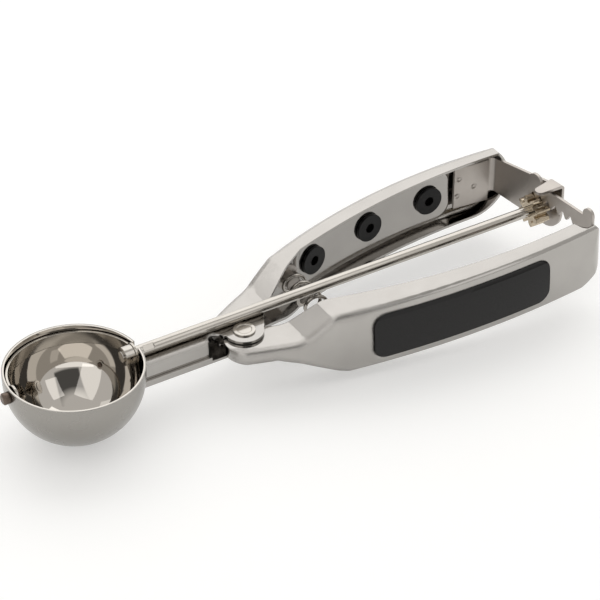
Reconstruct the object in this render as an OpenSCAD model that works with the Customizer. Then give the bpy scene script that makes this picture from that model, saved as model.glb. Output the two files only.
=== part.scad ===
// Cookie scoop with a squeeze lever, a rack and pinion and a turning wiper.
// Lengths are in millimetres, +Z is up, +X runs from the bowl to the handles.
// The origin is the middle of the bowl's mouth, on the plane of the rim.

/* [Bowl] */
// Outside diameter of the bowl
bowl_d = 44; // [41:0.5:47]
// Sheet thickness of the bowl
bowl_wall = 0.8; // [0.6:0.1:1]
// Height of the straight rim above the rod's axis
rim_rise = 2.7; // [2.4:0.1:4]

/* [Wiper and rod] */
// Diameter of the drive rod
rod_d = 3.7; // [3.2:0.1:4.2]
// Width of the wiper band
wiper_width = 4.2; // [3:0.2:5]
// Thickness of the wiper band
wiper_wall = 0.7; // [0.5:0.1:0.9]
// Clearance between the wiper and the bowl
wiper_gap = 0.35; // [0.3:0.05:0.5]
// Angle of the resting wiper below the rod's plane
wiper_dip = 3.7; // [3:0.1:6]
// Diameter of the pin at the bowl's front
pin_d = 2.8; // [2.4:0.1:3.2]
// Length of the wiper's collar on the rod
collar_len = 3.2; // [2.6:0.1:4]

/* [Gear] */
// Module of the pinion and rack teeth
tooth_module = 1.15; // [1.1:0.01:1.2]
// Face length of the pinion
pinion_len = 5.4; // [5:0.1:5.5]
// Sheet thickness of the rack and bearing brackets
bracket_wall = 1; // [0.8:0.1:1.2]
// Height of the rack strip above the pitch line
rack_back = 5.2; // [4.6:0.1:5.4]

/* [Neck] */
// Distance from the bowl's wall to the lever's pivot
neck_len = 34.9; // [32:0.1:40]
// Outside width of the neck
neck_w = 9.2; // [8.4:0.2:10]
// Radius of the round ears over and under the pivot
ear_r = 6.3; // [5.8:0.1:7]
// Sideways offset of the pivot from the rod
pivot_off = 5.1; // [4.8:0.1:5.6]
// Diameter of the pivot rivet's shank
rivet_d = 3.6; // [3:0.1:4]

/* [Handles] */
// Sheet thickness of the neck and handles
sheet = 0.9; // [0.7:0.1:1]
// Height of the grip
grip_h = 23.3; // [22.4:0.1:24]
// Length of the fixed grip, from the end of the ramp to the rear
grip_len = 96.2; // [90:0.2:102]
// Distance from the rod to the widest point of each handle
spread = 31; // [30:0.2:32]
// Radius of the fixed handle's sweep, seen from above
fixed_sweep_r = 193; // [185:1:205]
// Radius of the lever's sweep, seen from above
lever_sweep_r = 300; // [285:1:330]
// Radius of the grips' rounded shoulders
shoulder_r = 3; // [2.4:0.1:3.4]
// Height of the lever's nose
nose_h = 4.2; // [3.8:0.1:4.8]

/* [Grip pads and spring] */
// Length of each soft grip pad
pad_len = 64; // [60:0.5:66]
// Depth of the pressed pocket that holds a pad
pocket_depth = 1.2; // [0.8:0.1:1.4]
// Diameter of the studs that hold a pad
stud_d = 10; // [8:0.2:11]
// Distance between two studs
stud_pitch = 25.2; // [22:0.2:26]
// Outside diameter of the return spring
spring_d = 8.2; // [7.4:0.1:8.6]
// Wire diameter of the return spring
wire_d = 1.2; // [1:0.1:1.4]
// Number of the spring's turns
spring_turns = 8; // [6:1:9]

/* [Hidden] */
$fn = 64;

// Clearances: running fits, seats that touch, sheets that slide past each other
run_fit = 0.05;
seat = 0.05;
slide_gap = 0.3;
rod_clear = 0.35;
through = 1;
far = 400;

// Bowl, wiper and rod
bowl_r = bowl_d / 2;
rod_r = rod_d / 2;
pin_r = pin_d / 2;
axis_z = -rim_rise;
wiper_r = bowl_r - bowl_wall - wiper_gap;
wiper_in_r = wiper_r - wiper_wall;
eye_wall = 1.5;
collar_wall = 1.2;
eye_r = rod_r + eye_wall;
collar_r = rod_r + collar_wall;
collar_x1 = sqrt(wiper_in_r * wiper_in_r - collar_r * collar_r) - seat;
collar_x0 = collar_x1 - collar_len;
rod_nose = 0.6;
rod_tail = 1.2;
pin_head_over = 0.5;
pin_head_r = pin_r + pin_head_over;
pin_head_len = 2.3;
pin_tail_len = 0.7;
pin_dome = 0.4;
swage_back = 1.2;
swage_len = 3.8;
swage_depth = 0.25;
wiper_sweep = 180 - 2 * wiper_dip;

// Neck, ears and pivot: heights count from the rod's axis
pivot_x = bowl_r + neck_len;
neck_top = -rod_r - rod_clear;
nose_top = neck_top - sheet - slide_gap;
nose_bot = nose_top - nose_h;
bush_lift = 1.5;
base_top = nose_bot - slide_gap - bush_lift;
base_bot = base_top - sheet;
lip_h = 1.2;
near_wall_back = 12.4;
far_wall_back = 5.5;
lip_over = 0.6;
near_wall_end = pivot_x - near_wall_back;
far_wall_end = pivot_x - far_wall_back;
lip_end = near_wall_end + lip_over;
relief_r = 2.6;
rivet_r = rivet_d / 2;
bush_wall = 1.2;
bush_flange_w = 1.4;
bush_r = rivet_r + bush_wall;
bush_flange_r = bush_r + bush_flange_w;
rivet_head_over = 1.8;
rivet_head_r = rivet_r + rivet_head_over;
rivet_head_h = 0.5;
rivet_rim = 1.2;
rivet_dish_r = rivet_head_r - rivet_rim;
rivet_dish = 0.25;
rivet_tail_h = 0.6;
nose_r = 8.7;
nose_back = 0.6;
nose_side = 3.1;
nose_c = [nose_back, -pivot_off - nose_side];
split_y = -0.4;
web_back = 2;
web_ear = 0.8;
web_tip_y = 1.1;
web_turn = 32.3;
web_high_y = 10;
web_far = [5, 7.4];

// Handle: ramp from the nose up to the grip, and the grip's own tilted frame
fixed_ramp_x0 = 11;
lever_ramp_x0 = 12.6;
grip_x0 = 24.1;
grip_z0 = 4.6;
grip_tilt = 2.58;
widest_at = 67;
crown_r = 70;
end_r = 8;
end_low_r = 14;
lever_longer = 1.6;
corner_r = 6;
flange_reach = 40;
block = 120;
edge_sweep_r = 230;
edge_at = 74;
edge_in = 6.8;
keel_x0 = 4.5;
keel_x1 = 12;
keel_drop = 2.8;
keel_z1 = nose_bot - keel_drop;
keel_angle = -26.6;
ramp_low_r = 9;
ramp_top_r = 10;
keel_r = 25;
hair = 0.02;

// Each handle's own sweep, length, start of the ramp, and nose heights
fixed_form = [fixed_sweep_r, grip_len, fixed_ramp_x0, neck_top, base_top];
lever_form = [lever_sweep_r, grip_len + lever_longer, lever_ramp_x0, nose_top, nose_bot];

// Grip pads: window in the grip's frame, its corners and the studs
pad_start = 10.6;
pad_end = grip_x0 + pad_start + pad_len + sheet;
pad_edge = 3.2;
pad_corner = 4.5;
pad_gap = 0.15;
pad_proud = 0.35;
stud_in = 6;
stud_start = pad_start + stud_in;
stud_drop = 0.7;
stud_h = 0.9;
stud_seat = 0.3;
stud_neck_r = 2.6;
stud_hole_r = 1.7;
stud_hole_depth = 2;

// Gear: eight teeth, straight rack flanks, involute pinion flanks
teeth = 8;
flank = 30;
backlash = 0.2;
tip_clear = 0.25;
pitch_r = tooth_module * teeth / 2;
rack_add_share = 0.85;
pinion_add_share = 0.8;
rack_add = rack_add_share * tooth_module;
pinion_add = pinion_add_share * tooth_module;
tooth_pitch = PI * tooth_module;
outer_r = pitch_r + pinion_add;
root_r = pitch_r - rack_add - tip_clear;
base_r = pitch_r * cos(flank);
hub_under = 0.4;
hub_r = root_r - hub_under;
hub_len = 0.3;
tooth_lap = 0.5;

// Rack: its line crosses the rod rack_reach behind the pivot
rack_in = 4.3;
rack_reach = grip_x0 + grip_len - rack_in;
rack_angle = 5.5;
lever_leg_back = 8;
lever_leg_angle = asin((rack_reach - lever_leg_back - grip_x0 - widest_at) / lever_sweep_r);
mesh_r = norm([rack_reach, pivot_off]);
mesh_angle = atan2(pivot_off, rack_reach);
tooth_angle = tooth_pitch / mesh_r * 180 / PI;
lever_stroke = wiper_sweep * pitch_r / mesh_r;
rack_travel = lever_stroke * PI / 180 * mesh_r;
rack_top = pitch_r + rack_back;
rack_tip = pitch_r - rack_add;
rack_teeth_s = 20.6;
rack_x = pivot_x + rack_reach;
rack_gap_len = 12;
notch_s = 23.4;
notch_in = 0.6;
notch_r = 5.6;
notch_lip = 2.2;
pinion_ahead = 3.7;
pinion_x0 = rack_x - pinion_ahead;

// Bearing plate: carries the rod's rear end and the keeper over the rack
plate_back = 3.8;
plate_reach = rack_reach + plate_back;
plate_angle = 6.5;
plate_r = 7.4;
plate_top = 9.9;
plate_low = 5.8;
bore_len = 20;
keeper_s = 7.5;
keeper_w = 5.3;
keeper_tip_r = 1.8;
keeper_bend_r = 0.6;
keeper_gap = 1;
keeper_z = rack_top + keeper_gap;
keeper_len = 8.6;
bump_gap = 0.35;
bump_spare = 0.9;
bump_h = 3.2;
bump_root = 1;
bump_r1 = 3.1;
bump_r2 = 2.3;
bend_r = 2.5;
bend_step = 0.02;
bend_lap = 2;
leg_clear = 1.1;
leg_top = 5;
leg_bot = -11;
fixed_leg_back = 11;
fixed_bend_back = 3;
fixed_leg_angle = asin((plate_reach - fixed_leg_back - grip_x0 - widest_at) / fixed_sweep_r);
wall_clear = 0.95;

// Return spring: across the handles, under the rod
spring_back = 29.1;
spring_x = pivot_x + spring_back;
spring_clear = 0.4;
spring_z = -rod_r - spring_clear - spring_d / 2;
post_rim = 0.2;
post_pin_gap = 0.45;
post_r = spring_d / 2 + post_rim;
post_pin_r = spring_d / 2 - wire_d - post_pin_gap;
post_pin_len = 5;
post_base = 0.3;
post_seat = 0.3;
tail_ramp = 0.3;
spring_tail = wire_d + tail_ramp;
tube_sides = 6;
rings_per_turn = 8;

function sweep_y(r, x) = spread - r + sqrt(r * r - pow(x - grip_x0 - widest_at, 2));
function post_y(r) = sweep_y(r, spring_x - pivot_x - post_r) - sheet - post_seat - post_base;
fixed_post_y = post_y(fixed_sweep_r);
lever_post_y = -post_y(lever_sweep_r);

// Moves a piece from the rod's axis to the rim's plane
module on_axis() {
    translate([0, 0, axis_z]) children();
}

// Cylinder along X
module bar_x(r, x0, x1) {
    translate([x0, 0, 0]) rotate([0, 90, 0]) cylinder(r = r, h = x1 - x0);
}

// Cylinder along Z
module bar_z(r, z0, z1) {
    translate([0, 0, z0]) cylinder(r = r, h = z1 - z0);
}

// Outline in X and Z, extruded along Y both ways
module side_cut() {
    rotate([90, 0, 0]) linear_extrude(2 * far, center = true) children();
}

// Bowl

module bowl_form(r) {
    sphere(r = r, $fn = 96);
    cylinder(r = r, h = bowl_d);
}

module bowl() {
    color("silver") on_axis() difference() {
        intersection() {
            bowl_form(bowl_r);
            translate([-far, -far, -far]) cube([2 * far, 2 * far, far + rim_rise]);
        }
        bowl_form(bowl_r - bowl_wall);
        bar_x(rod_r + run_fit, 0, bowl_d);
        translate([0, -rod_r - run_fit, 0]) cube([bowl_d, rod_d + 2 * run_fit, bowl_d]);
        bar_x(pin_r, -bowl_d, 0);
    }
}

module front_pin() {
    color("dimgray") on_axis() {
        bar_x(pin_r, -bowl_r - seat - through, -wiper_in_r + pin_tail_len);
        intersection() {
            bar_x(pin_head_r, -bowl_r - seat - pin_head_len, -bowl_r - seat);
            translate([-bowl_r, 0, 0]) sphere(r = pin_head_len + pin_dome);
        }
        bar_x(pin_head_r, -wiper_in_r + slide_gap + seat, -wiper_in_r + slide_gap + pin_tail_len);
    }
}

// Wiper and rod

module wiper_blade() {
    color("gainsboro") on_axis() rotate([-wiper_dip, 0, 0]) difference() {
        intersection() {
            difference() {
                sphere(r = wiper_r, $fn = 96);
                sphere(r = wiper_in_r, $fn = 96);
            }
            union() {
                translate([-bowl_r, 0, -wiper_width / 2]) cube([bowl_d, bowl_r, wiper_width]);
                bar_x(eye_r, -bowl_r, bowl_r);
            }
        }
        bar_x(rod_r + seat, 0, bowl_r);
        bar_x(pin_r + run_fit, -bowl_r, 0);
    }
}

module wiper_collar() {
    color("silver") on_axis() difference() {
        bar_x(collar_r, collar_x0, collar_x1);
        bar_x(rod_r + seat, collar_x0 - through, collar_x1 + through);
    }
}

module drive_rod() {
    rod_end = pivot_x + plate_reach + bracket_wall + rod_tail;
    color("whitesmoke") on_axis() difference() {
        bar_x(rod_r, collar_x0 - rod_nose, rod_end);
        rotate([45, 0, 0]) translate([bowl_r + swage_back, -rod_r, rod_r - swage_depth])
            cube([swage_len, rod_d, rod_d]);
    }
}

// Pinion outline: points of one tooth, then copies round the hub
function inv(a) = tan(a) * 180 / PI - a;
half_tooth = (tooth_pitch / 2 - backlash / 2) / 2 / pitch_r * 180 / PI;
function flank_angle(r) = half_tooth + inv(flank) - inv(acos(base_r / max(r, base_r)));
flank_steps = 5;
function flank_r(i) = base_r + (outer_r - base_r) * i / flank_steps;
function polar(r, a) = [r * cos(a), r * sin(a)];
function tooth_side(s) = [for (i = [0 : flank_steps]) polar(flank_r(i), s * flank_angle(flank_r(i)))];
function reversed(v) = [for (i = [len(v) - 1 : -1 : 0]) v[i]];
tooth_points = concat([polar(root_r - tooth_lap, -flank_angle(base_r))], tooth_side(-1),
    reversed(tooth_side(1)), [polar(root_r - tooth_lap, flank_angle(base_r))]);

module pinion() {
    color("rosybrown") on_axis() difference() {
        union() {
            translate([pinion_x0, 0, 0]) rotate([90, 0, 90]) linear_extrude(pinion_len) {
                circle(r = root_r);
                for (i = [0 : teeth - 1]) rotate(90 + (i + 0.5) * 360 / teeth) polygon(tooth_points);
            }
            bar_x(hub_r, pinion_x0, pinion_x0 + pinion_len + hub_len);
        }
        bar_x(rod_r + seat, pinion_x0 - through, pinion_x0 + pinion_len + hub_len + through);
    }
}

// Handle trays: one swept section, trimmed by a side outline, drawn once outside and once inset

module grip_frame() {
    translate([pivot_x + grip_x0, 0, grip_z0]) rotate([0, -grip_tilt, 0]) children();
}

// Section of the swept grip; inset moves every wall inwards
module grip_section(r, inset) {
    intersection() {
        union() {
            translate([r - flange_reach, inset - grip_h])
                square([flange_reach - shoulder_r, grip_h - 2 * inset]);
            translate([r - shoulder_r, shoulder_r - grip_h])
                square([shoulder_r - inset, grip_h - 2 * shoulder_r]);
            for (z = [-shoulder_r, shoulder_r - grip_h])
                translate([r - shoulder_r, z]) circle(r = shoulder_r - inset);
        }
        translate([r - crown_r, -grip_h / 2]) circle(r = crown_r - inset, $fn = 128);
    }
}

module grip_sweep(r, inset) {
    translate([widest_at, spread - r, 0]) rotate_extrude($fn = 256) grip_section(r, inset);
}

// Rear end: rounded in the side view, more below than above
module grip_end(form, inset) {
    rear = form[1];
    side_cut() {
        translate([-far, inset - grip_h]) square([far + rear - end_low_r, grip_h - 2 * inset]);
        translate([-far, end_low_r - grip_h]) square([far + rear - end_r, grip_h - end_low_r - inset]);
        translate([-far, end_low_r - grip_h]) square([far + rear - inset, grip_h - end_low_r - end_r]);
        translate([rear - end_r, -end_r]) circle(r = end_r - inset);
        translate([rear - end_low_r, end_low_r - grip_h]) circle(r = end_low_r - inset);
    }
}

// Upright corner between the outer wall and the rear end
module grip_corner(form, inset) {
    r = form[0];
    rear = form[1];
    corner_u = rear - corner_r;
    corner_y = spread - r + sqrt(pow(r - corner_r, 2) - pow(corner_u - widest_at, 2));
    tangent_u = widest_at + (corner_u - widest_at) * r / (r - corner_r);
    translate([0, 0, -far / 2]) linear_extrude(far) {
        translate([-far, -far]) square([far + tangent_u, 2 * far]);
        translate([corner_u, corner_y]) circle(r = corner_r - inset);
        translate([-far, -far]) square([far + rear, far + corner_y]);
    }
}

// Plane geometry of the side outline: directions, mitred offsets, line crossings
function along(a) = [cos(a), sin(a)];
function left_of(a) = [-sin(a), cos(a)];
function mitre(p, a, b, d) = p + d * left_of((a + b) / 2) / cos((b - a) / 2);
function turn_of(u, v) = u[0] * v[1] - u[1] * v[0];
function crossing(p, a, q, b) = p + along(a) * turn_of(q - p, along(b)) / turn_of(along(a), along(b));

// What an arc of radius r takes off a corner between two directions, with some lap beyond it
module corner_piece(c, a, b, r) {
    reach = r * tan(abs(b - a) / 2);
    start = c - reach * along(a);
    stop = c + reach * along(b);
    side = b > a ? 1 : -1;
    middle = start + side * r * left_of(a);
    away = (c - middle) / norm(c - middle);
    difference() {
        polygon([start, c + through * away, stop]);
        translate(middle + hair * away) circle(r = r, $fn = 128);
    }
}

// Front of a tray: nose, ramp up to the grip and keel down to it
module tray_front(form, inset) {
    top = form[3];
    bottom = form[4];
    ramp_angle = atan2(grip_z0 - top, grip_x0 - form[2]);
    roof = [grip_x0, grip_z0 + hair];
    floor_line = [grip_x0, grip_z0 - hair - grip_h / cos(grip_tilt)];
    foot = [form[2], top];
    brow = crossing(foot, ramp_angle, roof, grip_tilt);
    heel = [keel_x0, bottom];
    knee = [keel_x1, keel_z1];
    shin = atan2(keel_z1 - bottom, keel_x1 - keel_x0);
    sole = crossing(knee, keel_angle, floor_line, grip_tilt);
    foot_in = mitre(foot, 0, ramp_angle, -inset);
    brow_in = mitre(brow, ramp_angle, grip_tilt, -inset);
    heel_in = mitre(heel, 0, shin, inset);
    knee_in = mitre(knee, shin, keel_angle, inset);
    sole_in = mitre(sole, keel_angle, grip_tilt, inset);
    translate([pivot_x, 0, 0]) difference() {
        union() {
            side_cut() polygon([[-far, top - inset], foot_in, brow_in, brow_in + far * along(grip_tilt),
                sole_in + far * along(grip_tilt), sole_in, knee_in, heel_in, [-far, bottom + inset]]);
            side_cut() corner_piece(foot_in, 0, ramp_angle, ramp_low_r + inset);
        }
        side_cut() corner_piece(brow_in, ramp_angle, grip_tilt, ramp_top_r - inset);
        side_cut() corner_piece(sole_in, keel_angle, grip_tilt, keel_r - inset);
    }
}

module tray_solid(form, inset) {
    intersection() {
        grip_frame() intersection() {
            grip_sweep(form[0], inset);
            grip_end(form, inset);
            grip_corner(form, inset);
        }
        tray_front(form, inset);
        translate([pivot_x - block / 2, -block / 2, -block / 2]) cube([2 * block, block, block]);
    }
}

// Free edge of both flanges: everything nearer the rod than this sweep is open
module open_side() {
    translate([pivot_x + grip_x0 + edge_at, spread - edge_in - edge_sweep_r, -far / 2])
        cylinder(r = edge_sweep_r, h = far, $fn = 256);
}

// Straight inner edge of the fixed handle's ramp: the rod's side of a line through the web's tip
module web_side() {
    translate([pivot_x + fixed_ramp_x0, web_tip_y, -far / 2]) rotate([0, 0, web_turn])
        translate([-far, -far, 0]) cube([2 * far, far, far]);
}

// Window of the pad's pocket, in the grip's frame
module pad_window(grow) {
    r = pad_corner + grow;
    u0 = pad_start - grow;
    u1 = pad_start + pad_len + grow;
    z0 = pad_edge - grip_h - grow;
    z1 = grow - pad_edge;
    rotate([90, 0, 0]) linear_extrude(2 * far, center = true) {
        translate([u0 + r, z0]) square([u1 - u0 - 2 * r, z1 - z0]);
        translate([u0, z0 + r]) square([u1 - u0, z1 - z0 - 2 * r]);
        for (u = [u0 + r, u1 - r]) for (z = [z0 + r, z1 - r]) translate([u, z]) circle(r = r);
    }
}

// Layer of the grip's wall between two insets, cut to the pad's window
module wall_layer(r, inset0, inset1, grow) {
    grip_frame() intersection() {
        difference() {
            grip_sweep(r, inset0);
            grip_sweep(r, inset1);
        }
        pad_window(grow);
        translate([-block / 2, 0, -block / 2]) cube([2 * block, block, block]);
    }
}

// Places a stud's own frame on the grip's wall, +Z pointing outwards
module at_studs(r) {
    grip_frame() for (i = [0 : 2]) {
        u = stud_start + i * stud_pitch;
        translate([widest_at, spread - r, -grip_h / 2 - stud_drop]) rotate([0, 0, -asin((u - widest_at) / r)])
            translate([0, r, 0]) rotate([-90, 0, 0]) children();
    }
}

// Sheet of a handle on the +Y side: outer form less the inset form, with the pressed pocket
module tray(form) {
    r = form[0];
    difference() {
        tray_solid(form, 0);
        difference() {
            tray_solid(form, sheet);
            wall_layer(r, -through, pocket_depth + sheet, sheet);
        }
        wall_layer(r, -through, pocket_depth, 0);
        intersection() {
            open_side();
            web_side();
        }
        at_studs(r) bar_z(stud_neck_r + seat, -pocket_depth - sheet - through, 0);
    }
}

module grip_pad(r) {
    wall_layer(r, -pad_proud, pocket_depth - seat, -pad_gap);
}

module grip_studs(r) {
    floor_z = -pocket_depth - sheet - stud_seat;
    at_studs(r) difference() {
        union() {
            bar_z(stud_d / 2, floor_z - stud_h, floor_z);
            bar_z(stud_neck_r, floor_z, -pocket_depth);
        }
        bar_z(stud_hole_r, floor_z - stud_h - through, floor_z - stud_h + stud_hole_depth);
    }
}

// Post that locates one end of the spring on the +Y wall
module spring_post(r, y) {
    intersection() {
        translate([spring_x, y, spring_z]) rotate([-90, 0, 0]) cylinder(r = post_r, h = 2 * post_r);
        grip_frame() translate([widest_at, spread - r, -far / 2])
            cylinder(r = r - sheet - post_seat, h = far, $fn = 720);
    }
    translate([spring_x, y - post_pin_len, spring_z]) rotate([-90, 0, 0])
        cylinder(r = post_pin_r, h = post_pin_len + through / 2);
}

// Fixed handle with the neck

module ear_plan() {
    translate([pivot_x, -pivot_off]) circle(r = ear_r);
}

module neck_plan(half) {
    translate([0, -half]) square([pivot_x, 2 * half]);
    ear_plan();
}

module neck_sheet() {
    half = neck_w / 2;
    ear_side = [0, -pivot_off] + ear_r * [web_ear, -sqrt(1 - web_ear * web_ear)];
    translate([0, 0, neck_top - sheet]) linear_extrude(sheet) difference() {
        union() {
            neck_plan(half);
            translate([pivot_x, 0]) polygon([[-web_back, half], [-web_back, -half], ear_side,
                [fixed_ramp_x0, web_tip_y], [fixed_ramp_x0, web_high_y], web_far]);
        }
        translate([near_wall_end + relief_r, -half]) circle(r = relief_r);
    }
    translate([0, -half, base_top]) cube([near_wall_end, sheet, neck_top - base_top]);
    translate([0, half - sheet, base_top]) cube([far_wall_end, sheet, neck_top - base_top]);
}

module fixed_handle() {
    color("gainsboro") on_axis() difference() {
        union() {
            neck_sheet();
            intersection() {
                tray(fixed_form);
                translate([far_wall_end - sheet, split_y, -far / 2]) cube([far, far, far]);
            }
        }
        bowl_form(bowl_r + seat);
        translate([pivot_x, -pivot_off, 0]) bar_z(rivet_r + seat, base_bot, through);
    }
}

module neck_base() {
    half = neck_w / 2 + seat;
    color("darkgray") on_axis() difference() {
        union() {
            translate([0, 0, base_bot]) linear_extrude(sheet) neck_plan(half + sheet);
            for (y = [-half - sheet, half])
                translate([0, y, base_bot]) cube([lip_end, sheet, sheet + lip_h]);
        }
        bowl_form(bowl_r + seat);
        translate([pivot_x, -pivot_off, 0]) bar_z(rivet_r + seat, base_bot - through, 0);
    }
}

module pivot_rivet() {
    color("silver") on_axis() translate([pivot_x, -pivot_off, 0]) difference() {
        union() {
            bar_z(rivet_r, base_bot - rivet_tail_h, neck_top + rivet_head_h);
            bar_z(rivet_head_r, neck_top, neck_top + rivet_head_h);
            bar_z(rivet_head_r, base_bot - rivet_tail_h, base_bot);
        }
        bar_z(rivet_dish_r, neck_top + rivet_head_h - rivet_dish, neck_top + through);
    }
}

module pivot_bush() {
    color("darkgray") on_axis() translate([pivot_x, -pivot_off, 0]) difference() {
        union() {
            bar_z(bush_r, base_top + seat, neck_top - sheet - seat);
            bar_z(bush_flange_r, base_top + seat, nose_bot - slide_gap);
        }
        bar_z(rivet_r + seat, base_top - through, neck_top);
    }
}

module fixed_grip_pad() {
    color("black") on_axis() grip_pad(fixed_sweep_r);
}

module fixed_grip_studs() {
    color("black") on_axis() grip_studs(fixed_sweep_r);
}

module fixed_spring_post() {
    color("gray") on_axis() spring_post(fixed_sweep_r, fixed_post_y);
}

// Bent brackets: the plate runs along +X of its own frame, then bends into a welded leg

module bent_leg(from_s, turn, leg_len, z0, z1, leg_z0, leg_z1) {
    s = sign(turn);
    reach = 3 * bend_r;
    translate([from_s, s * bend_r, 0]) {
        translate([0, 0, z0]) linear_extrude(z1 - z0) intersection() {
            difference() {
                circle(r = bend_r + bracket_wall / 2 - bend_step);
                circle(r = bend_r - bracket_wall / 2 + bend_step);
            }
            polygon([[0, 0], polar(reach, -s * (90 + bend_lap)), polar(reach, -90 * s + turn / 2),
                polar(reach, -90 * s + turn + s * bend_lap)]);
        }
        rotate([0, 0, turn]) translate([0, -s * bend_r - bracket_wall / 2, leg_z0])
            cube([leg_len, bracket_wall, leg_z1 - leg_z0]);
    }
}

module plate_frame() {
    translate([pivot_x + plate_reach, 0, 0]) rotate([0, 0, 90 + plate_angle]) children();
}

module upright(wall) {
    rotate([90, 0, 0]) linear_extrude(wall, center = true) children();
}

bend_out = bend_r + bracket_wall / 2;
fixed_wall_y = sweep_y(fixed_sweep_r, plate_reach - fixed_bend_back) - sheet - wall_clear;
plate_s = fixed_wall_y / cos(plate_angle) - bend_out;
fixed_leg_len = plate_reach - plate_s * sin(plate_angle) - bend_out - pad_end - leg_clear;

module bearing_bracket() {
    inner = keeper_bend_r;
    tip_y = keeper_len - keeper_tip_r;
    keeper_s1 = keeper_w - keeper_s;
    turn = 90 - plate_angle - fixed_leg_angle;
    color("gray") on_axis() difference() {
        plate_frame() {
            upright(bracket_wall) {
                circle(r = plate_r);
                polygon([[0, -plate_r], [plate_s, -plate_r], [plate_s, plate_low], [keeper_s1, plate_top],
                    [keeper_s1, 0]]);
                translate([-keeper_s, 0]) square([keeper_w, keeper_z - inner]);
            }
            bent_leg(plate_s, turn, fixed_leg_len, -plate_r, plate_low, leg_bot, leg_top);
            translate([-keeper_s, inner + bracket_wall / 2, keeper_z - inner]) rotate([90, 0, 90])
                linear_extrude(keeper_w) intersection() {
                    difference() {
                        circle(r = inner + bracket_wall);
                        circle(r = inner);
                    }
                    translate([-far, 0]) square(far);
                }
            translate([-keeper_s, inner + bracket_wall / 2, keeper_z]) linear_extrude(bracket_wall) {
                polygon([[0, 0], [keeper_w, 0], [keeper_w / 2 + keeper_tip_r, tip_y],
                    [keeper_w / 2 - keeper_tip_r, tip_y]]);
                translate([keeper_w / 2, tip_y]) circle(r = keeper_tip_r);
            }
        }
        translate([pivot_x + plate_reach, 0, 0]) bar_x(rod_r + run_fit, -bore_len / 2, bore_len / 2);
    }
}

// Return spring: one tube on a helix, with straight tails square to the posts
coil_r = (spring_d - wire_d) / 2;
spring_y0 = lever_post_y + slide_gap;
spring_y1 = fixed_post_y - slide_gap;
coil_y0 = spring_y0 + spring_tail;
coil_y1 = spring_y1 - spring_tail;
coil_rings = spring_turns * rings_per_turn;
function coil_point(i) = [coil_r * cos(i * 360 / rings_per_turn),
    coil_y0 + (coil_y1 - coil_y0) * i / coil_rings, coil_r * sin(i * 360 / rings_per_turn)];
coil = [for (i = [0 : coil_rings]) coil_point(i)];
spring_path = concat([[coil_r, spring_y0, 0], [coil_r, spring_y0 + wire_d, 0]],
    [for (i = [1 : coil_rings - 1]) coil[i]],
    [[coil_r, spring_y1 - wire_d, 0], [coil_r, spring_y1, 0]]);
last = len(spring_path) - 1;
function unit(v) = v / norm(v);
function heading(i) = i <= 1 || i >= last - 1 ? [0, 1, 0] : unit(spring_path[i + 1] - spring_path[i - 1]);
function outward(p) = unit([p[0], 0, p[2]]);
function ring_point(p, n, b, a) = p + wire_d / 2 * (cos(a) * n + sin(a) * b);
function ring(i) = let (p = spring_path[i], n = outward(p), b = cross(heading(i), n))
    [for (k = [0 : tube_sides - 1]) ring_point(p, n, b, k * 360 / tube_sides)];
tube_points = [for (i = [0 : last]) each ring(i)];
function corner(i, k) = i * tube_sides + k % tube_sides;
tube_faces = concat(
    [for (i = [0 : last - 1]) for (k = [0 : tube_sides - 1]) each [
        [corner(i, k), corner(i, k + 1), corner(i + 1, k)],
        [corner(i, k + 1), corner(i + 1, k + 1), corner(i + 1, k)]]],
    [for (k = [1 : tube_sides - 2]) [corner(0, 0), corner(0, k + 1), corner(0, k)]],
    [for (k = [1 : tube_sides - 2]) [corner(last, 0), corner(last, k), corner(last, k + 1)]]);
self_gap = min([for (i = [0 : last - 5]) for (j = [i + 5 : last])
    norm(spring_path[i] - spring_path[j])]) - wire_d;
echo(spring_self_gap = self_gap, lever_stroke = lever_stroke, mesh_ratio = mesh_r / pitch_r);

module return_spring() {
    color("silver") on_axis() translate([spring_x, 0, spring_z]) polyhedron(tube_points, tube_faces);
}

// Lever

module nose_trim(inset) {
    translate([pivot_x, 0, -far / 2]) linear_extrude(far) {
        translate(nose_c) circle(r = nose_r - inset);
        translate([nose_c[0], -far]) square([far, 2 * far]);
    }
}

module lever_solid(inset) {
    intersection() {
        mirror([0, 1, 0]) tray_solid(lever_form, inset);
        nose_trim(inset);
    }
}

module lever_handle() {
    color("gainsboro") on_axis() difference() {
        lever_solid(0);
        difference() {
            lever_solid(sheet);
            mirror([0, 1, 0]) wall_layer(lever_sweep_r, -through, pocket_depth + sheet, sheet);
        }
        mirror([0, 1, 0]) {
            wall_layer(lever_sweep_r, -through, pocket_depth, 0);
            open_side();
            at_studs(lever_sweep_r) bar_z(stud_neck_r + seat, -pocket_depth - sheet - through, 0);
        }
        translate([pivot_x, -pivot_off, 0]) bar_z(bush_r + run_fit, base_bot, 0);
        intersection() {
            rack_frame() translate([notch_s, notch_in, leg_top]) cylinder(r = notch_r, h = far);
            mirror([0, 1, 0]) grip_frame() translate([widest_at, spread - lever_sweep_r, -far / 2])
                cylinder(r = lever_sweep_r - notch_lip, h = far, $fn = 256);
        }
    }
}

module lever_grip_pad() {
    color("black") on_axis() mirror([0, 1, 0]) grip_pad(lever_sweep_r);
}

module lever_grip_studs() {
    color("black") on_axis() mirror([0, 1, 0]) grip_studs(lever_sweep_r);
}

module lever_spring_post() {
    color("gray") on_axis() mirror([0, 1, 0]) spring_post(lever_sweep_r, -lever_post_y);
}

module rack_frame() {
    translate([rack_x, 0, 0]) rotate([0, 0, rack_angle - 90]) children();
}

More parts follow.
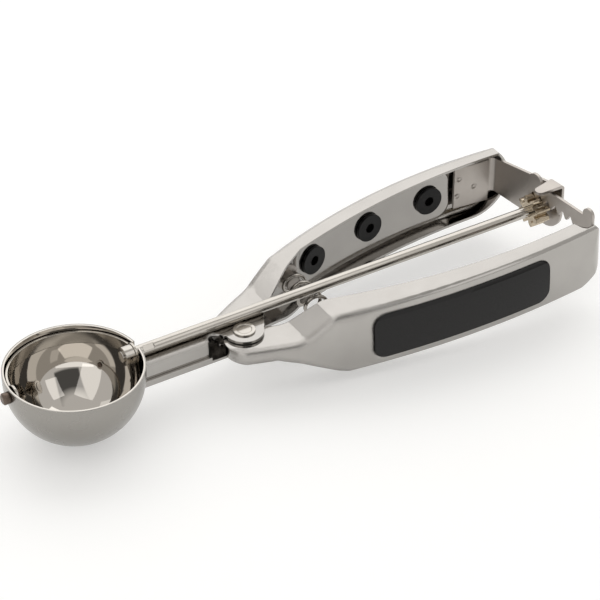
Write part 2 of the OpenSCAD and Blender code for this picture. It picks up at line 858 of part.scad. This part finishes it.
lever_wall_y = sweep_y(lever_sweep_r, rack_reach) - sheet - wall_clear;
rack_s = lever_wall_y / cos(rack_angle) - bend_out;
lever_leg_len = rack_reach + rack_s * sin(rack_angle) - bend_out - pad_end - leg_clear;
bump1_s = keeper_s - keeper_w - bump_gap - bump_r1;
bump2_s = keeper_s + rack_travel + bump_spare + bump_r2;

// Gap between two rack teeth, seen along the pivot's radius
gap_half = (tooth_pitch / 2 + backlash / 2) / 2;
gap_depth = pinion_add + tip_clear;
module tooth_gap() {
    polygon([
        [-gap_half + gap_depth * tan(flank), pitch_r + gap_depth],
        [gap_half - gap_depth * tan(flank), pitch_r + gap_depth],
        [gap_half + 2 * rack_add * tan(flank), pitch_r - 2 * rack_add],
        [-gap_half - 2 * rack_add * tan(flank), pitch_r - 2 * rack_add]]);
}

module stop_bump(s, r) {
    translate([s, rack_top + bump_h - r]) circle(r = r);
    translate([s - r, rack_top - bump_root]) square([2 * r, bump_h - r + bump_root]);
}

module rack_bracket() {
    gaps = floor(rack_teeth_s / tooth_pitch);
    rack_len = bump2_s + bump_r2 - bump1_s + bump_r1;
    turn = lever_leg_angle - rack_angle - 90;
    color("darkgray") on_axis() difference() {
        rack_frame() {
            upright(bracket_wall) {
                translate([bump1_s - bump_r1, rack_tip]) square([rack_len, rack_back + rack_add]);
                translate([rack_teeth_s, -plate_r]) square([rack_s - rack_teeth_s, plate_r + leg_top]);
                stop_bump(bump1_s, bump_r1);
                stop_bump(bump2_s, bump_r2);
            }
            bent_leg(rack_s, turn, lever_leg_len, -plate_r, leg_top, leg_bot, leg_top);
        }
        for (i = [-gaps : 0]) translate([pivot_x, -pivot_off, 0])
            rotate([0, 0, mesh_angle + (i + 0.5) * tooth_angle]) translate([mesh_r - rack_gap_len / 2, 0, 0])
                rotate([90, 0, 90]) linear_extrude(rack_gap_len) tooth_gap();
    }
}

bowl();
front_pin();
fixed_handle();
neck_base();
bearing_bracket();
pivot_rivet();
pivot_bush();
fixed_grip_pad();
fixed_grip_studs();
fixed_spring_post();
return_spring();
lever_handle();
lever_grip_pad();
lever_grip_studs();
lever_spring_post();
rack_bracket();
drive_rod();
pinion();
wiper_blade();
wiper_collar();
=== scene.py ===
# %% [markdown]
# # A cookie scoop in stainless steel
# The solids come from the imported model, in metres, with the bowl's mouth at the origin. This lesson gives
# them a camera, real finishes and a studio. It also makes two small forms that suit a mesh better than a
# solid: the spring's round wire and the bevel on the soft pads.

# %% Load the solids
import math

import bmesh
import bpy
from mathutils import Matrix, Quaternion, Vector


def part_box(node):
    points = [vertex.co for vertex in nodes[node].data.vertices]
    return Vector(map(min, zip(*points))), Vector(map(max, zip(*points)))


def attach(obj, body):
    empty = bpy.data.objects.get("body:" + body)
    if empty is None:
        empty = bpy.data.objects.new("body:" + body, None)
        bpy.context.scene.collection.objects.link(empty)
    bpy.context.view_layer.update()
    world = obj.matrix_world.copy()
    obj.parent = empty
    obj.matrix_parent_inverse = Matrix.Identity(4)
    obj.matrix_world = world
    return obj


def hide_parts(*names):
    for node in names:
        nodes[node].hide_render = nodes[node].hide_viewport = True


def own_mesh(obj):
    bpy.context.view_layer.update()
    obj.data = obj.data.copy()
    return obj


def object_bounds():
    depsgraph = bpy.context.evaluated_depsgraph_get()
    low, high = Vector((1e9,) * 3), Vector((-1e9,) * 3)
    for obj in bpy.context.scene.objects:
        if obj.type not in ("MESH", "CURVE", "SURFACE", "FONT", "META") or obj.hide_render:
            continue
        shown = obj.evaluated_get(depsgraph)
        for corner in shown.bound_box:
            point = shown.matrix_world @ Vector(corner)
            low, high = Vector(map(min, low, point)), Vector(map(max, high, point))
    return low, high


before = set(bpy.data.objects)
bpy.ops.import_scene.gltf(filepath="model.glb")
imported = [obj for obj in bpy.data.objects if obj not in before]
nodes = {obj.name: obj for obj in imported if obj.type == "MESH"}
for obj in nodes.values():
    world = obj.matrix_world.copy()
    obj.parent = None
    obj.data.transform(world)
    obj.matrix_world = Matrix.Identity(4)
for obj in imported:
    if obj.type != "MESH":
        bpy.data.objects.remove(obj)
solid_low, solid_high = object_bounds()
MM = 0.001
show = bpy.context.scene.collection.objects.link
print("solids", len(nodes), "length in mm", round((solid_high - solid_low).x / MM, 1))

# %% [markdown]
# ## The camera
# The rim's ellipse and the rod's slope give the viewing angle: the lens stands in front of the bowl, to
# the left, and looks down by thirty-six degrees. A long lens keeps the handles nearly parallel.

# %% Camera
sight = Vector((0.4205, 0.6894, -0.5899))
lens = bpy.data.cameras.new("studio_lens")
lens.sensor_width = 36
lens.lens = 150
camera = bpy.data.objects.new("studio_camera", lens)
camera.location = Vector((-254.18, -548.62, 464.02)) * MM
camera.rotation_mode = "QUATERNION"
camera.rotation_quaternion = sight.to_track_quat("-Z", "Y")
show(camera)
bpy.context.scene.camera = camera
bpy.context.scene.view_settings.view_transform = "Standard"
print("camera stands", round(camera.location.length, 3), "m from the bowl")

# %% [markdown]
# ## Helpers for the finishes
# Colours are written as the hex values of a paint program and turned to linear light once, here. One
# function adds a node, sets its values and joins its links. Two more start a finish and join it to its
# shader, because every finish here needs a colour, a roughness and a normal.


# %% Colour and node helpers
def linear(code):
    parts = [int(code[i : i + 2], 16) / 255 for i in (1, 3, 5)]
    return (*[p / 12.92 if p < 0.04045 else ((p + 0.055) / 1.055) ** 2.4 for p in parts], 1)


def add(tree, kind, inputs=None, **settings):
    made = tree.nodes.new(kind)
    for name, value in settings.items():
        setattr(made, name, value)
    for name, value in (inputs or {}).items():
        if isinstance(value, bpy.types.NodeSocket):
            tree.links.new(value, made.inputs[name])
        else:
            made.inputs[name].default_value = value
    return made


def finish_named(name):
    material = bpy.data.materials.new(name)
    material.use_nodes = True
    tree = material.node_tree
    place = add(tree, "ShaderNodeTexCoord").outputs["Object"]
    return material, tree, tree.nodes["Principled BSDF"], place


def join_finish(tree, shader, tone, shine, normal, metal):
    tree.links.new(tone.outputs["Result"], shader.inputs["Base Color"])
    tree.links.new(shine.outputs[0], shader.inputs["Roughness"])
    tree.links.new(normal, shader.inputs["Normal"])
    shader.inputs["Metallic"].default_value = metal


print("white is", linear("#FFFFFF")[:3])

# %% [markdown]
# ## Bent sheet has no sharp edges
# A press rounds every bend of the sheet and tumbling breaks every cut edge. The solids have crisp edges
# there, so the shader rounds them: its bevel node looks for nearby faces and turns the normal. A cut edge
# gets 0.3 mm. The long bend between a handle's top and its wall is found by its distance from the
# handle's sweep, a big circle seen from above. It is widest at the nose and gets tighter along the grip.

# %% Rounded edges in the shader
NOSE_X, GRIP_X = 88 * MM, 106 * MM  # the bend tightens between these places along the handle
BEND_STARTS, BEND_FULL = 5 * MM, 3.6 * MM  # how far inside the sweep's circle the wide bend sets in


def rounded(tree, place, edge_mm, sweep=None):
    if sweep is None:
        return add(tree, "ShaderNodeBevel", {"Radius": edge_mm * MM}, samples=6).outputs[0]
    middle_x, middle_y, reach, nose, grip = [mm * MM for mm in sweep]
    from_above = add(tree, "ShaderNodeVectorMath", {0: place, 1: (1, 1, 0)}, operation="MULTIPLY")
    off = add(tree, "ShaderNodeVectorMath", {0: from_above.outputs[0], 1: (middle_x, middle_y, 0)},
              operation="DISTANCE")
    along = add(tree, "ShaderNodeSeparateXYZ", {0: place})
    bend = add(tree, "ShaderNodeMapRange", {"Value": along.outputs["X"], "From Min": NOSE_X, "From Max": GRIP_X,
                                            "To Min": nose, "To Max": grip})
    radius = add(tree, "ShaderNodeMapRange", {"Value": off.outputs["Value"], "From Min": reach - BEND_STARTS,
                                              "From Max": reach - BEND_FULL, "To Min": edge_mm * MM,
                                              "To Max": bend.outputs[0]})
    return add(tree, "ShaderNodeBevel", {"Radius": radius.outputs[0]}, samples=12).outputs[0]


print("a wide bend runs from", NOSE_X / MM, "to", GRIP_X / MM, "mm")

# %% [markdown]
# ## Satin stainless sheet
# The handles and the neck are pressed from stainless sheet and tumbled, which leaves a soft shine with
# very fine scratches along the sheet. The scratches are 0.05 mm wide on the real part and are drawn
# 0.35 mm wide here, because finer ones do not show at this picture size. A slow cloud, 9 mm across, varies
# the shine and the colour. Spot welds, which hold the brackets, leave dimples 2 mm across.

# %% Steel with drawn scratches
CLOUD = 9 * MM
DIMPLE_FLOOR, DIMPLE_RIM, DIMPLE_DEPTH = 0.4 * MM, 1.1 * MM, 0.3 * MM


def brushed(name, colour, dark, smooth, rough, across_mm, along_mm, depth_mm, edge_mm=0.3, sweep=None, welds=()):
    material, tree, shader, place = finish_named(name)
    stretch = (1 / (along_mm * MM), 1 / (across_mm * MM), 1 / (across_mm * MM))
    lie = add(tree, "ShaderNodeMapping", {"Vector": place, "Scale": stretch})
    lines = add(tree, "ShaderNodeTexNoise", {"Vector": lie.outputs[0], "Scale": 1.0, "Detail": 3.0})
    cloud = add(tree, "ShaderNodeTexNoise", {"Vector": place, "Scale": 1 / CLOUD, "Detail": 3.0})
    both = add(tree, "ShaderNodeMath", {0: lines.outputs[0], 1: cloud.outputs[0]}, operation="ADD")
    shine = add(tree, "ShaderNodeMapRange", {"Value": both.outputs[0], "From Min": 0.7, "From Max": 1.3,
                                             "To Min": smooth, "To Max": rough})
    tone = add(tree, "ShaderNodeMix", {"Factor": cloud.outputs[0], "A": linear(colour), "B": linear(dark)},
               data_type="RGBA")
    bump = add(tree, "ShaderNodeBump", {"Height": lines.outputs[0], "Strength": 0.2, "Distance": depth_mm * MM,
                                        "Normal": rounded(tree, place, edge_mm, sweep)})
    for x, z in welds:
        side_on = add(tree, "ShaderNodeVectorMath", {0: place, 1: (1, 0, 1)}, operation="MULTIPLY")
        off = add(tree, "ShaderNodeVectorMath", {0: side_on.outputs[0], 1: (x * MM, 0, z * MM)},
                  operation="DISTANCE")
        dimple = add(tree, "ShaderNodeMapRange", {"Value": off.outputs["Value"], "From Min": DIMPLE_FLOOR,
                                                  "From Max": DIMPLE_RIM})
        bump = add(tree, "ShaderNodeBump", {"Height": dimple.outputs[0], "Distance": DIMPLE_DEPTH,
                                            "Normal": bump.outputs[0]})
    join_finish(tree, shader, tone, shine, bump.outputs[0], metal=1)
    return material


satin = {"colour": "#B2AFAB", "dark": "#A7A4A0", "across_mm": 0.35, "along_mm": 9}
lever_sheet = brushed("stainless_sheet_satin_lever", **satin, smooth=0.05, rough=0.13, depth_mm=0.006,
                      sweep=(148, 269, 300, 3.2, 1.0))
fixed_sheet = brushed("stainless_sheet_satin_fixed", **satin, smooth=0.06, rough=0.14, depth_mm=0.006,
                      sweep=(148, -162, 193, 2.4, 1.0))
neck_sheet = brushed("stainless_sheet_satin_neck", **satin, smooth=0.18, rough=0.28, depth_mm=0.01)
print("sheet finishes", len(bpy.data.materials))

# %% [markdown]
# ## Brackets, strip, rod, wire and pin
# The same scratches serve the other steel pieces. The brackets are dull from the press and their welds, the
# wiper is a bright rolled strip, the rod is drawn and polished, the spring wire has scratches of its own
# thickness, and the front pin is plain dark steel with a domed head.

# %% Other steel finishes
dull = {"colour": "#BAB4AE", "dark": "#A8A29C", "smooth": 0.3, "rough": 0.42, "across_mm": 0.3, "along_mm": 6,
        "depth_mm": 0.015}
weld_spots = ((160.2, -2.2), (159.6, -8.9), (166, -6.6))
dull_sheet = brushed("stainless_sheet_dull", **dull)
welded_sheet = brushed("stainless_sheet_dull_spot_welded", **dull, welds=weld_spots)
bright_strip = brushed("stainless_strip_bright", "#C0BBB3", "#B2ADA5", smooth=0.1, rough=0.18,
                       across_mm=0.3, along_mm=8, depth_mm=0.006)
drawn_rod = brushed("stainless_rod_polished", "#C2BEB7", "#B4AFA8", smooth=0.08, rough=0.16,
                    across_mm=0.25, along_mm=14, depth_mm=0.004)
spring_wire = brushed("spring_wire_bright", "#BDB8B1", "#A39E97", smooth=0.1, rough=0.2,
                      across_mm=0.2, along_mm=3, depth_mm=0.004, edge_mm=0.05)
plain_pin = brushed("plain_steel_dark", "#7C6F66", "#5A4F47", smooth=0.24, rough=0.4,
                    across_mm=0.3, along_mm=0.6, depth_mm=0.02, edge_mm=0.8)
print("steel finishes", len(bpy.data.materials))

# %% [markdown]
# ## The bowl's two finishes
# The bowl is mirror polished inside and satin outside. Two materials on two sets of faces would do, but a
# solid's mesh is left as it is. So one material finds the inside by the distance from the bowl's middle: a
# half ball below the middle, and an upright cylinder above it. The outside's colour is darker than the
# inside's as painted shade: it stands for the shadowed floor that the outside mirrors.

# %% Bowl steel
# the outside's colour is the same steel darkened as painted shade, for the shadowed floor it mirrors
INSIDE, OUTSIDE_WITH_SHADE = "#C6C1BA", "#9C9994"
bowl_low, bowl_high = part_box("bowl")
bowl_radius = (bowl_high.y - bowl_low.y) / 2
middle_z = bowl_low.z + bowl_radius
within_sheet = bowl_radius - 0.4 * MM
bowl_steel, tree, shader, place = finish_named("stainless_bowl_mirror_inside")
xyz = add(tree, "ShaderNodeSeparateXYZ", {0: place})
drop = add(tree, "ShaderNodeMath", {0: xyz.outputs["Z"], 1: middle_z}, operation="SUBTRACT")
below = add(tree, "ShaderNodeMath", {0: drop.outputs[0], 1: 0.0}, operation="MINIMUM")
spot = add(tree, "ShaderNodeCombineXYZ", {"X": xyz.outputs["X"], "Y": xyz.outputs["Y"], "Z": below.outputs[0]})
reach = add(tree, "ShaderNodeVectorMath", {0: spot.outputs[0]}, operation="LENGTH")
outside = add(tree, "ShaderNodeMath", {0: reach.outputs["Value"], 1: within_sheet}, operation="GREATER_THAN")
cloud = add(tree, "ShaderNodeTexNoise", {"Vector": place, "Scale": 1 / (6 * MM), "Detail": 3.0})
gleam = add(tree, "ShaderNodeMapRange", {"Value": cloud.outputs[0], "To Min": 0.02, "To Max": 0.06})
haze = add(tree, "ShaderNodeMapRange", {"Value": cloud.outputs[0], "To Min": 0.2, "To Max": 0.32})
shine = add(tree, "ShaderNodeMix", {"Factor": outside.outputs[0], "A": gleam.outputs[0], "B": haze.outputs[0]})
# the outside takes the darker colour, which is painted shade
tone = add(tree, "ShaderNodeMix", {"Factor": outside.outputs[0], "A": linear(INSIDE), "B": linear(OUTSIDE_WITH_SHADE)},
           data_type="RGBA")
join_finish(tree, shader, tone, shine, rounded(tree, place, 0.3), metal=1)
print("bowl radius in mm", round(bowl_radius / MM, 2))

# %% [markdown]
# ## Sintered bronze and soft black plastic
# The pinion is pressed from bronze powder and sintered, so its skin is grainy and dull. The pads are
# moulded from soft plastic with a fine spark-eroded grain, which makes the black look matt. The studs are
# a little smoother. Soft plastic reflects less than the shader's default, so its specular level is lower.


# %% Grainy finishes
def grainy(name, colour, dark, metal, smooth, rough, grain_mm, depth_mm, edge_mm, specular=0.5):
    material, tree, shader, place = finish_named(name)
    grain = add(tree, "ShaderNodeTexNoise", {"Vector": place, "Scale": 1 / (grain_mm * MM), "Detail": 4.0})
    tone = add(tree, "ShaderNodeMix", {"Factor": grain.outputs[0], "A": linear(colour), "B": linear(dark)},
               data_type="RGBA")
    shine = add(tree, "ShaderNodeMapRange", {"Value": grain.outputs[0], "From Min": 0.3, "From Max": 0.7,
                                             "To Min": smooth, "To Max": rough})
    bump = add(tree, "ShaderNodeBump", {"Height": grain.outputs[0], "Strength": 0.4, "Distance": depth_mm * MM,
                                        "Normal": rounded(tree, place, edge_mm)})
    join_finish(tree, shader, tone, shine, bump.outputs[0], metal)
    shader.inputs["Specular IOR Level"].default_value = specular
    return material


sintered_bronze = grainy("bronze_sintered", "#D2C6B2", "#A3947F", metal=1, smooth=0.14, rough=0.26,
                         grain_mm=0.5, depth_mm=0.012, edge_mm=0.15)
soft_plastic = grainy("plastic_soft_black", "#0F0D0D", "#0A0909", metal=0, smooth=0.42, rough=0.56,
                      grain_mm=0.4, depth_mm=0.02, edge_mm=0.25, specular=0.35)
stud_plastic = grainy("plastic_stud_black", "#070606", "#030303", metal=0, smooth=0.3, rough=0.44,
                      grain_mm=0.5, depth_mm=0.01, edge_mm=0.3, specular=0.25)
print("all finishes", len(bpy.data.materials))

# %% [markdown]
# ## Dressing the solids
# Each solid keeps its own mesh and only gets the finish of its real material. A table of finishes and names
# is easier to check against the photo than one line for each solid.

# %% Assign the finishes
dress = {
    lever_sheet: ["lever_handle"],
    fixed_sheet: ["fixed_handle"],
    neck_sheet: ["neck_base"],
    bowl_steel: ["bowl"],
    bright_strip: ["wiper_blade"],
    drawn_rod: ["drive_rod", "pivot_rivet", "wiper_collar"],
    welded_sheet: ["bearing_bracket"],
    dull_sheet: ["rack_bracket", "pivot_bush", "fixed_spring_post", "lever_spring_post"],
    plain_pin: ["front_pin"],
    sintered_bronze: ["pinion"],
    soft_plastic: ["fixed_grip_pad", "lever_grip_pad"],
    stud_plastic: ["fixed_grip_studs", "lever_grip_studs"],
}
for material, names in dress.items():
    for name in names:
        nodes[name].data.materials.clear()
        nodes[name].data.materials.append(material)
print("dressed", sum(len(names) for names in dress.values()), "solids")

# %% [markdown]
# ## The return spring's path
# The spring is one wire wound eight times between the handles, with two short straight ends on its
# posts. The solid has a coarse six-sided wire. A path for a finer one is worked out from the solid's own
# box, so that the new wire lies where the solid is.

# %% Spring path
wire, turns, points = 1.2 * MM, 8, 40
tail, lead = wire, 1.25 * wire  # a straight end, and where the coil starts behind it
spring_low, spring_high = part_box("return_spring")
coil_middle = (spring_low + spring_high) / 2
coil_radius = (spring_high.x - spring_low.x - wire) / 2
run_start, run_end = spring_low.y + lead, spring_high.y - lead
path = [Vector((coil_radius, spring_low.y, 0)), Vector((coil_radius, spring_low.y + tail, 0))]
for i in range(1, turns * points):
    turn = i * math.tau / points
    height = run_start + (run_end - run_start) * i / (turns * points)
    path.append(Vector((coil_radius * math.cos(turn), height, coil_radius * math.sin(turn))))
path += [Vector((coil_radius, spring_high.y - tail, 0)), Vector((coil_radius, spring_high.y, 0))]
path = [p + Vector((coil_middle.x, 0, coil_middle.z)) for p in path]
print("wire is", round(sum((b - a).length for a, b in zip(path, path[1:])) / MM), "mm long")

# %% [markdown]
# ## A wire along the path
# A wire is a circle that follows a line, so a Geometry Nodes tree turns the path into a curve and sweeps a
# circle along it. The tree takes the wire's radius as an input, which makes another wire a change of one
# number. A bevelled curve would do too, but the tree gives the finish in the same step.

# %% Node tree for the wire
spring_tree = bpy.data.node_groups.new("wire_along_path", "GeometryNodeTree")
spring_tree.interface.new_socket("Path", in_out="INPUT", socket_type="NodeSocketGeometry")
thick = spring_tree.interface.new_socket("Wire radius", in_out="INPUT", socket_type="NodeSocketFloat")
spring_tree.interface.new_socket("Wire", in_out="OUTPUT", socket_type="NodeSocketGeometry")
given = add(spring_tree, "NodeGroupInput")
line = add(spring_tree, "GeometryNodeMeshToCurve", {"Mesh": given.outputs["Path"]})
ring = add(spring_tree, "GeometryNodeCurvePrimitiveCircle",
           {"Resolution": 16, "Radius": given.outputs["Wire radius"]})
tube = add(spring_tree, "GeometryNodeCurveToMesh",
           {"Curve": line.outputs[0], "Profile Curve": ring.outputs[0], "Fill Caps": True})
even = add(spring_tree, "GeometryNodeSetShadeSmooth", {"Geometry": tube.outputs[0]})
real = add(spring_tree, "GeometryNodeRealizeInstances", {"Geometry": even.outputs[0]})
dressed = add(spring_tree, "GeometryNodeSetMaterial", {"Geometry": real.outputs[0], "Material": spring_wire})
add(spring_tree, "NodeGroupOutput", {"Wire": dressed.outputs[0]})
print("nodes in the wire's tree", len(spring_tree.nodes))

# %% [markdown]
# ## The wire as a piece
# The path becomes a mesh of points and edges, and the tree turns it into the wire. The result is kept as a
# plain mesh, because squashing a piece needs its final mesh. It rides on the frame, where its fixed end
# sits, and stands for the solid.

# %% Spring wire
line_mesh = bpy.data.meshes.new("spring_path")
line_mesh.from_pydata([p[:] for p in path], [(i, i + 1) for i in range(len(path) - 1)], [])
spring = bpy.data.objects.new("spring_wire", line_mesh)
show(spring)
winder = spring.modifiers.new("wind", "NODES")
winder.node_group = spring_tree
winder[thick.identifier] = wire / 2
ready = spring.evaluated_get(bpy.context.evaluated_depsgraph_get())
spring.data = bpy.data.meshes.new_from_object(ready)
spring.modifiers.clear()
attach(spring, "frame")
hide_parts("return_spring")
print("spring faces", len(spring.data.polygons))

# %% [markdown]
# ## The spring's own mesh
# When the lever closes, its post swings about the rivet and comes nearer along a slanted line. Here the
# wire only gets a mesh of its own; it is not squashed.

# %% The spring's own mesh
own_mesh(spring)

# %% [markdown]
# ## The pads' upper bevel
# Each soft pad is moulded with a narrow bevel along its upper edge, which shows as a darker band. The solid
# is one plain slab. A copy of its mesh is cut along two lines below that edge. The part above the first line
# leans in, and the second line keeps the smooth shading of that bend away from the rest of the face.

# %% Moulded pads
bevel, hold, lean = 1.3 * MM, 0.5 * MM, 0.4 * MM
hair = 0.001 * MM  # tells a point on the first line from one above it
edge_middle = Vector((128, 0, 0.65)) * MM
square_up = Vector((-0.0443, 0, 1)).normalized()


def outer_faces(shape, outward):
    return [f for f in shape.faces if f.normal.y * outward > 0.8]


for name, body, outward in (("lever_grip_pad", "lever", -1), ("fixed_grip_pad", "frame", 1)):
    shape = bmesh.new()
    shape.from_mesh(nodes[name].data)
    bmesh.ops.remove_doubles(shape, verts=shape.verts, dist=0.01 * MM)
    for drop in (bevel, bevel + hold):
        faces = outer_faces(shape, outward)
        lines = list({e for f in faces for e in f.edges})
        corners = list({v for f in faces for v in f.verts})
        bmesh.ops.bisect_plane(shape, geom=corners + lines + faces, dist=1e-7,
                               plane_co=edge_middle - drop * square_up, plane_no=square_up)
    for v in {v for f in outer_faces(shape, outward) for v in f.verts}:
        if (v.co - edge_middle).dot(square_up) > hair - bevel:
            v.co.y -= outward * lean
    moulded = bpy.data.meshes.new(name + "_moulded")
    shape.to_mesh(moulded)
    shape.free()
    moulded.polygons.foreach_set("use_smooth", [True] * len(moulded.polygons))
    moulded.set_sharp_from_angle(angle=math.radians(20))
    moulded.materials.clear()
    moulded.materials.append(soft_plastic)
    pad = bpy.data.objects.new(name + "_moulded", moulded)
    show(pad)
    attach(pad, body)
    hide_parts(name)
    print(name, "faces", len(moulded.polygons))

# %% [markdown]
# ## Soft lamps
# Steel shows its surroundings, so the lamps are chosen for what mirrors them. A long panel behind the scoop
# makes the tops bright, and a low one beside it lights the walls that lean back. A small lamp behind left and
# two lamps in front are mirrored in the bowl as light wedges, and a low strip in front lights the near
# walls. Each lamp is given by its direction and its width in degrees, as seen from the scoop, and by how much
# brighter it is than the room, because a lamp's light adds to that of the room behind it.

# %% Lamps
lit_middle = Vector((0.04, 0, 0))


def soft_lamp(name, azimuth, height, width, depth, radiance, roll=0, reach=1.2):
    a, e = math.radians(azimuth), math.radians(height)
    away = Vector((math.cos(e) * math.cos(a), math.cos(e) * math.sin(a), math.sin(e)))
    lamp = bpy.data.lights.new(name, "AREA")
    lamp.shape = "RECTANGLE"
    lamp.size = 2 * reach * math.tan(math.radians(width / 2))
    lamp.size_y = 2 * reach * math.tan(math.radians(depth / 2))
    lamp.energy = radiance * math.pi * lamp.size * lamp.size_y
    made = bpy.data.objects.new(name, lamp)
    made.location = lit_middle + reach * away
    made.rotation_mode = "QUATERNION"
    made.rotation_quaternion = (-away).to_track_quat("-Z", "Y") @ Quaternion((0, 0, 1), math.radians(roll))
    show(made)


soft_lamp("lamp_behind", 57, 47, 71, 52, 0.98)
soft_lamp("lamp_behind_left", 126, 36, 22, 32, 0.35)
soft_lamp("lamp_behind_low", 50, 10, 84, 20, 0.6)
soft_lamp("lamp_front_left", -153, 46, 36, 56, 0.5, roll=8)
soft_lamp("lamp_front_right", -60, 48, 22, 34, 0.55, roll=-20)
soft_lamp("lamp_front_low", -118, 18, 64, 14, 0.6)
print("lamps", len(bpy.data.lights))

# %% [markdown]
# ## A lit table
# The scoop lies on white paper over a lit table, as for a catalogue picture. The paper shines a little by
# itself, which keeps shadows faint and gives the upright walls a middle grey. Its fibres are 0.8 mm across.

# %% Floor
floor_z, half = solid_low.z, 4
floor_mesh = bpy.data.meshes.new("studio_floor")
floor_corners = [(-half, -half, floor_z), (half, -half, floor_z), (half, half, floor_z), (-half, half, floor_z)]
floor_mesh.from_pydata(floor_corners, [], [(0, 1, 2, 3)])
floor = bpy.data.objects.new("studio_floor", floor_mesh)
show(floor)
floor_white, tree, shader, place = finish_named("paper_white")
shader.inputs["Base Color"].default_value = linear("#DCDCDB")
shader.inputs["Emission Color"].default_value = linear("#FFFFFF")
shader.inputs["Emission Strength"].default_value = 0.34
shader.inputs["Roughness"].default_value = 0.9
fibre = add(tree, "ShaderNodeTexNoise", {"Vector": place, "Scale": 1 / (0.8 * MM), "Detail": 3.0})
bump = add(tree, "ShaderNodeBump", {"Height": fibre.outputs[0], "Strength": 0.1, "Distance": 0.02 * MM})
tree.links.new(bump.outputs[0], shader.inputs["Normal"])
floor_mesh.materials.append(floor_white)
print("floor at", round(floor_z / MM, 1), "mm")

# %% [markdown]
# ## A room with one dark gap
# The room is evenly pale, apart from a dark gap between the two front lamps, where the photographer stands.
# The polished bowl mirrors that gap as a dark wedge. A black board would make the gap too, but it would also
# throw a shadow. So the world's strength drops there: nodes measure how far a direction lies to the side of
# the gap's middle and how high it is, and the product of those shares picks the darker strength.

# %% Room light
gap_angles = (-100, 20, 29, 58, 4, 16)
gap_turn, gap_half, gap_low, gap_high, fade_low, fade_high = [math.radians(d) for d in gap_angles]
gap_rim, fade_side = math.sin(gap_half), 0.04
room_light, gap_light = 0.7, 0.1
world = bpy.data.worlds.new("studio_air")
bpy.context.scene.world = world
world.use_nodes = True
tree = world.node_tree
toward = add(tree, "ShaderNodeTexCoord").outputs["Generated"]
lift = add(tree, "ShaderNodeSeparateXYZ", {0: toward}).outputs["Z"]
ahead = add(tree, "ShaderNodeVectorMath", {0: toward, 1: (math.cos(gap_turn), math.sin(gap_turn), 0)},
            operation="DOT_PRODUCT")
side = add(tree, "ShaderNodeVectorMath", {0: toward, 1: (-math.sin(gap_turn), math.cos(gap_turn), 0)},
           operation="DOT_PRODUCT")
aside = add(tree, "ShaderNodeMath", {0: side.outputs["Value"]}, operation="ABSOLUTE")
gap = add(tree, "ShaderNodeMath", {0: ahead.outputs["Value"], 1: 0.0}, operation="GREATER_THAN")
for value, dark_from, dark_full in (
    (aside.outputs[0], gap_rim + fade_side, gap_rim),
    (lift, math.sin(gap_high + fade_high), math.sin(gap_high)),
    (lift, math.sin(gap_low - fade_low), math.sin(gap_low)),
):
    share = add(tree, "ShaderNodeMapRange", {"Value": value, "From Min": dark_from, "From Max": dark_full})
    gap = add(tree, "ShaderNodeMath", {0: gap.outputs[0], 1: share.outputs[0]}, operation="MULTIPLY")
room = add(tree, "ShaderNodeMapRange", {"Value": gap.outputs[0], "To Min": room_light, "To Max": gap_light})
tree.nodes["Background"].inputs["Color"].default_value = linear("#FFFDFA")
tree.links.new(room.outputs[0], tree.nodes["Background"].inputs["Strength"])
print("nodes in the room's tree", len(tree.nodes))
